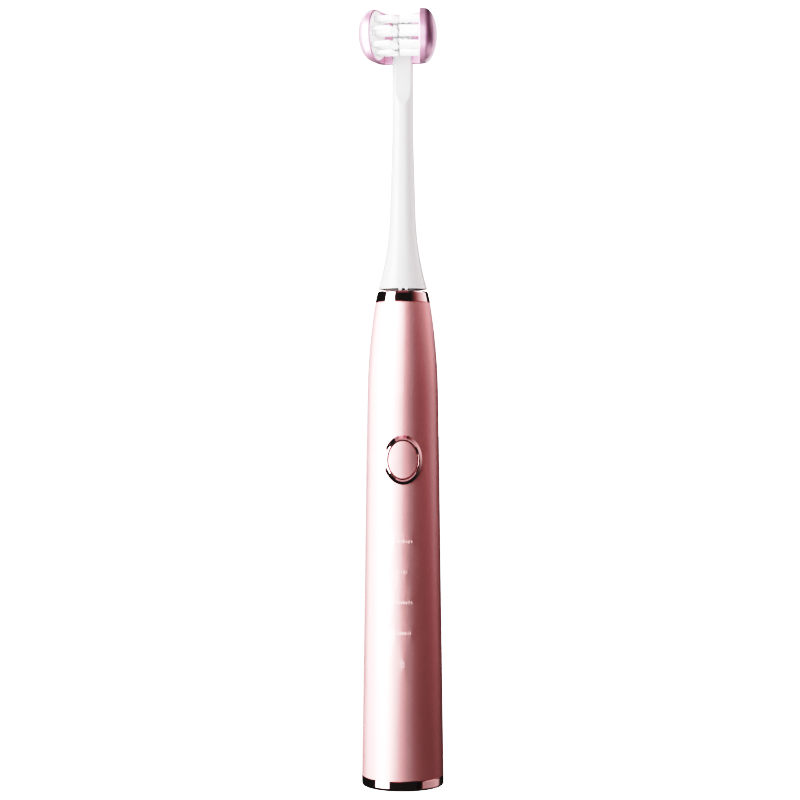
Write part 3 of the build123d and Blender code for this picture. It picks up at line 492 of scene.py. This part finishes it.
def bristles(name, node, root_side, body):
    """Filaments with rounded ends in place of a node's tufts, splayed a little towards their tips."""
    chance = random.Random(BRISTLE_SEED)
    turn = [2 * math.pi * k / FILAMENT_SIDES for k in range(FILAMENT_SIDES)]
    points, faces = [], []
    for root, axis, length, radius in tufts(node, root_side):
        axis = Vector(axis)
        side = axis.cross(Vector((0, 0, 1))).normalized()
        up = axis.cross(side).normalized()
        for x, y in filament_places(radius):
            lean = Vector((0, 0, 0))
            for direction, place in ((side, x), (up, y)):
                lean += direction * (place * FILAMENT_SPLAY + chance.uniform(-0.5, 0.5) * FILAMENT_R)
            reach = length - chance.uniform(0, LENGTH_SPREAD)
            base = Vector(root) + side * x + up * y
            start = len(points)
            for share, thick in FILAMENT_RINGS:
                middle = base + axis * reach * share + lean * share**2
                for angle in turn:
                    around = side * math.cos(angle) + up * math.sin(angle)
                    points.append(middle + around * FILAMENT_R * thick)
            for ring in range(len(FILAMENT_RINGS) - 1):
                low = start + ring * FILAMENT_SIDES
                for k in range(FILAMENT_SIDES):
                    after = (k + 1) % FILAMENT_SIDES
                    high = low + FILAMENT_SIDES
                    faces.append((low + k, low + after, high + after, high + k))
            faces.append(tuple(start + k for k in reversed(range(FILAMENT_SIDES))))
            last = start + (len(FILAMENT_RINGS) - 1) * FILAMENT_SIDES
            faces.append(tuple(last + k for k in range(FILAMENT_SIDES)))
    mesh = bpy.data.meshes.new(name)
    mesh.from_pydata(points, [], faces)
    mesh.polygons.foreach_set("use_smooth", [True] * len(faces))
    mesh.update()
    piece = bpy.data.objects.new(name, mesh)
    bpy.context.scene.collection.objects.link(piece)
    paint(piece, SLOT_OF[node])
    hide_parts(node)
    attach(piece, body)
    return piece


# --- Studio ---


def round_place(angle, height, radius=STUDIO_RADIUS):
    """Point at an angle round the object, 0 towards the camera and positive to its right."""
    turn = math.radians(angle)
    return Vector((radius * math.sin(turn), -radius * math.cos(turn), height))


def softbox(name, place, aim, width, length, radiance, receivers, colour=WHITE, shadow=True):
    """Unseen rectangular softbox, as bright as its radiance, aimed at a height on the handle's axis."""
    data = bpy.data.lights.new(name, "AREA")
    data.shape = "RECTANGLE"
    data.size = width
    data.size_y = length
    data.energy = radiance * math.pi * width * length
    data.color = colour
    data.use_shadow = shadow
    light = bpy.data.objects.new(name, data)
    bpy.context.scene.collection.objects.link(light)
    light.location = place
    light.rotation_mode = "QUATERNION"
    light.rotation_quaternion = (Vector((0, 0, aim)) - place).to_track_quat("-Z", "Y")
    light.visible_camera = False
    light.light_linking.receiver_collection = receivers


def hide_from_light(obj):
    """Leaves a stage object seen by the camera only."""
    obj.visible_diffuse = False
    obj.visible_glossy = False
    obj.visible_transmission = False
    obj.visible_shadow = False


def stage_mesh(name, points, faces, material):
    """Stage object from points and faces."""
    mesh = bpy.data.meshes.new(name)
    mesh.from_pydata(points, [], faces)
    mesh.materials.append(material)
    obj = bpy.data.objects.new(name, mesh)
    bpy.context.scene.collection.objects.link(obj)
    return obj


def glow(name, strength):
    """Even white emission."""
    material = bpy.data.materials.new(name)
    material.use_nodes = True
    nodes = material.node_tree.nodes
    nodes.remove(nodes["Principled BSDF"])
    emission = nodes.new("ShaderNodeEmission")
    emission.inputs["Strength"].default_value = strength
    material.node_tree.links.new(emission.outputs[0], nodes["Material Output"].inputs["Surface"])
    return material


def backdrop():
    """Pale shell round the whole studio."""
    points = []
    for ring in range(BACKDROP_RINGS + 1):
        tilt = math.pi * (ring / BACKDROP_RINGS - 0.5)
        for k in range(BACKDROP_SIDES):
            turn = 2 * math.pi * k / BACKDROP_SIDES
            flat = BACKDROP_RADIUS * math.cos(tilt)
            points.append((flat * math.cos(turn), flat * math.sin(turn), BACKDROP_RADIUS * math.sin(tilt)))
    faces = []
    for ring in range(BACKDROP_RINGS):
        for k in range(BACKDROP_SIDES):
            after = (k + 1) % BACKDROP_SIDES
            low, high = ring * BACKDROP_SIDES, (ring + 1) * BACKDROP_SIDES
            faces.append((low + k, high + k, high + after, low + after))
    hide_from_light(stage_mesh("backdrop", points, faces, glow("backdrop_glow", BACKDROP_LIGHT)))


def floor():
    """Plain pale floor that the object stands on."""
    rim = []
    for k in range(FLOOR_SIDES):
        turn = 2 * math.pi * k / FLOOR_SIDES
        rim.append((FLOOR_RADIUS * math.cos(turn), FLOOR_RADIUS * math.sin(turn), CAD_LOW.z))
    material = bpy.data.materials.new("floor_pale")
    material.use_nodes = True
    shader = material.node_tree.nodes["Principled BSDF"]
    shader.inputs["Base Color"].default_value = (FLOOR_GREY, FLOOR_GREY, FLOOR_GREY, 1)
    shader.inputs["Roughness"].default_value = FLOOR_ROUGHNESS
    shader.inputs["Specular IOR Level"].default_value = 0.0
    shader.inputs["Emission Color"].default_value = (1, 1, 1, 1)
    shader.inputs["Emission Strength"].default_value = FLOOR_GLOW
    hide_from_light(stage_mesh("floor", rim, [tuple(range(FLOOR_SIDES))], material))


def right_panel(receivers):
    """Curved reflector on the right that brightens with height and away from the camera."""
    material = bpy.data.materials.new("right_panel_glow")
    material.use_nodes = True
    nodes, links = material.node_tree.nodes, material.node_tree.links
    nodes.remove(nodes["Principled BSDF"])
    emission = nodes.new("ShaderNodeEmission")
    share = nodes.new("ShaderNodeAttribute")
    share.attribute_name = "glow"
    links.new(share.outputs["Color"], emission.inputs["Color"])
    emission.inputs["Strength"].default_value = 1.0
    links.new(emission.outputs[0], nodes["Material Output"].inputs["Surface"])
    points, colours = [], []
    for step in range(PANEL_STEPS + 1):
        across = step / PANEL_STEPS
        angle = PANEL_FROM + (PANEL_TO - PANEL_FROM) * across
        for level in range(PANEL_LEVELS + 1):
            up = level / PANEL_LEVELS
            points.append(round_place(angle, PANEL_LOW + (PANEL_HIGH - PANEL_LOW) * up))
            bright = PANEL_NEAR + PANEL_ACROSS * across**PANEL_ACROSS_POWER
            bright *= min(PANEL_FOOT + PANEL_RISE * up**PANEL_RISE_POWER, PANEL_TOP)
            pale = bright * (1 - PANEL_REDNESS * (1 - across) ** PANEL_REDNESS_POWER)
            colours += (bright, pale * PANEL_GREEN, pale * PANEL_BLUE, 1.0)
    faces = []
    for step in range(PANEL_STEPS):
        for level in range(PANEL_LEVELS):
            near = step * (PANEL_LEVELS + 1) + level
            far = near + PANEL_LEVELS + 1
            faces.append((near, far, far + 1, near + 1))
    panel = stage_mesh("right_panel", points, faces, material)
    attribute = panel.data.color_attributes.new("glow", "FLOAT_COLOR", "POINT")
    attribute.data.foreach_set("color", colours)
    panel.visible_camera = False
    panel.light_linking.receiver_collection = receivers


def lit_group(name, pieces, link_state):
    """Collection of the only pieces that a light falls on, or of those that it leaves out."""
    group = bpy.data.collections.new(name)
    for piece in pieces:
        group.objects.link(piece)
    for member in group.collection_objects:
        member.light_linking.link_state = link_state
    return group


def lights(filaments):
    """Curved reflector on the right, softboxes round the object, and fills for the head."""
    pieces = {**frame["nodes"], **{piece.name: piece for piece in filaments}}
    groups = {}
    for table, link_state in ((LIT, "INCLUDE"), (LEFT_OUT, "EXCLUDE")):
        for name, members in table.items():
            groups[name] = lit_group(name, [pieces[member] for member in members], link_state)
    right_panel(groups["not_cover"])
    for name, group, angle, height, distance, aim, width, length, radiance, colour in SOFTBOXES:
        place = round_place(angle, height, distance)
        softbox(name, place, AIMS.get(aim, height), width, length, radiance, groups[group], colour)
    for name, group, angle, height, radiance, shadow in FILLS:
        place = round_place(angle, height, FILL_DISTANCE)
        softbox(name, place, AIMS["head"], FILL_SIZE, FILL_SIZE, radiance, groups[group], shadow=shadow)


def camera():
    """Level camera in front of the object."""
    data = bpy.data.cameras.new("camera")
    data.lens = LENS
    data.sensor_width = SENSOR
    cam = bpy.data.objects.new("camera", data)
    bpy.context.scene.collection.objects.link(cam)
    cam.location = (CAMERA_SIDE, -CAMERA_DISTANCE, CAMERA_HEIGHT)
    cam.rotation_euler = (math.radians(90), 0, 0)
    bpy.context.scene.camera = cam


def film():
    """Dim surroundings and the picture's tone curve."""
    world = bpy.data.worlds.new("world")
    world.use_nodes = True
    world.node_tree.nodes["Background"].inputs["Color"].default_value = (1, 1, 1, 1)
    world.node_tree.nodes["Background"].inputs["Strength"].default_value = AMBIENT
    bpy.context.scene.world = world
    view = bpy.context.scene.view_settings
    view.view_transform = "Standard"
    view.look = "None"
    view.use_curve_mapping = True
    curves = view.curve_mapping
    curves.white_level = (FILM_WHITE, FILM_WHITE, FILM_WHITE)
    curve = curves.curves[ALL_CHANNELS]
    curve.points[0].location = FILM[0]
    curve.points[-1].location = (FILM[-1][0] / FILM_WHITE, FILM[-1][1])
    for light, picture in FILM[1:-1]:
        curve.points.new(light / FILM_WHITE, picture)
    curves.extend = "HORIZONTAL"
    curves.update()


# --- The scene ---

for node, obj in frame["nodes"].items():
    paint(obj, SLOT_OF[node])

filaments = []
for side in SIDES:
    plate_middle = np.array(sum(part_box(f"{side}_bristle_plate"), Vector()) / 2)
    filaments.append(bristles(f"{side}_filaments", f"{side}_bristles", plate_middle, "brush_head"))
neck_low, neck_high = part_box("brush_neck")
rear_root = np.array(((neck_low.x + neck_high.x) / 2, 0.0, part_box("rear_bristles")[0].z))
filaments.append(bristles("rear_filaments", "rear_bristles", rear_root, "brush_head"))

camera()
film()
backdrop()
floor()
lights(filaments)
